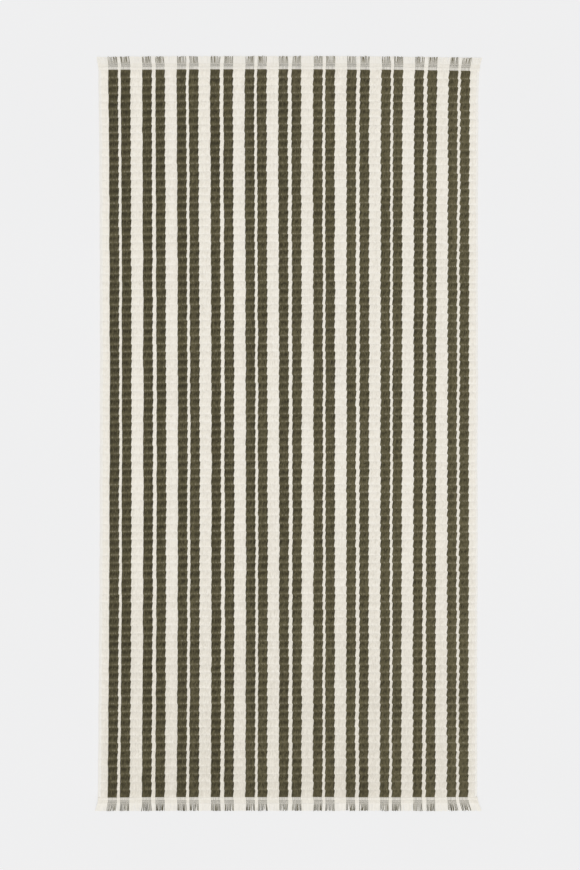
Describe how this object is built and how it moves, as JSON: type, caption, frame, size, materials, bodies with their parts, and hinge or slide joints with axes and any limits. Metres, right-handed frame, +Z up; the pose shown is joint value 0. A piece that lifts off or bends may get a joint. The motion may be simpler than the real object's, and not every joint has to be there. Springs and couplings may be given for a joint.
{
  "type": "bath mat",
  "caption": "Flat-woven striped cotton bath mat with a ribbed weave, plain-woven headings and a short cut fringe at both ends.",
  "frame": {"origin": "on the floor, under the middle of the mat", "axes": "+X across the mat, +Y along its length, +Z up out of its face"},
  "size_m": [0.6088, 1.2, 0.007],
  "materials": {
    "green_warp": "matt dark olive cotton",
    "cream_warp": "matt cream cotton",
    "cream_back": "matt cream cotton with fine olive lines",
    "weft_cotton": "matt natural cotton cord",
    "mixed_warp": "cream and olive cotton side by side"
  },
  "bodies": {
    "root": {"back_warp": "cream_back", "cream_01": "cream_warp", "cream_02": "cream_warp", "cream_03": "cream_warp", "cream_04": "cream_warp", "cream_05": "cream_warp", "cream_06": "cream_warp", "cream_07": "cream_warp", "cream_08": "cream_warp", "cream_09": "cream_warp", "cream_10": "cream_warp", "cream_11": "cream_warp", "cream_12": "cream_warp", "cream_13": "cream_warp", "cream_14": "cream_warp", "cream_15": "cream_warp", "cream_16": "cream_warp", "cream_17": "cream_warp", "cream_18": "cream_warp", "cream_19": "cream_warp", "cream_20": "cream_warp", "cream_21": "cream_warp", "cream_22": "cream_warp", "cream_23": "cream_warp", "end_rib_far": "cream_warp", "end_rib_near": "cream_warp", "fringe_far": "mixed_warp", "fringe_near": "mixed_warp", "green_01": "green_warp", "green_02": "green_warp", "green_03": "green_warp", "green_04": "green_warp", "green_05": "green_warp", "green_06": "green_warp", "green_07": "green_warp", "green_08": "green_warp", "green_09": "green_warp", "green_10": "green_warp", "green_11": "green_warp", "green_12": "green_warp", "green_13": "green_warp", "green_14": "green_warp", "green_15": "green_warp", "green_16": "green_warp", "green_17": "green_warp", "green_18": "green_warp", "green_19": "green_warp", "green_20": "green_warp", "green_21": "green_warp", "green_22": "green_warp", "heading_far": "mixed_warp", "heading_near": "mixed_warp", "selvedge_left": "cream_warp", "selvedge_right": "cream_warp", "weft_cord": "weft_cotton"}
  },
  "joints": []
}
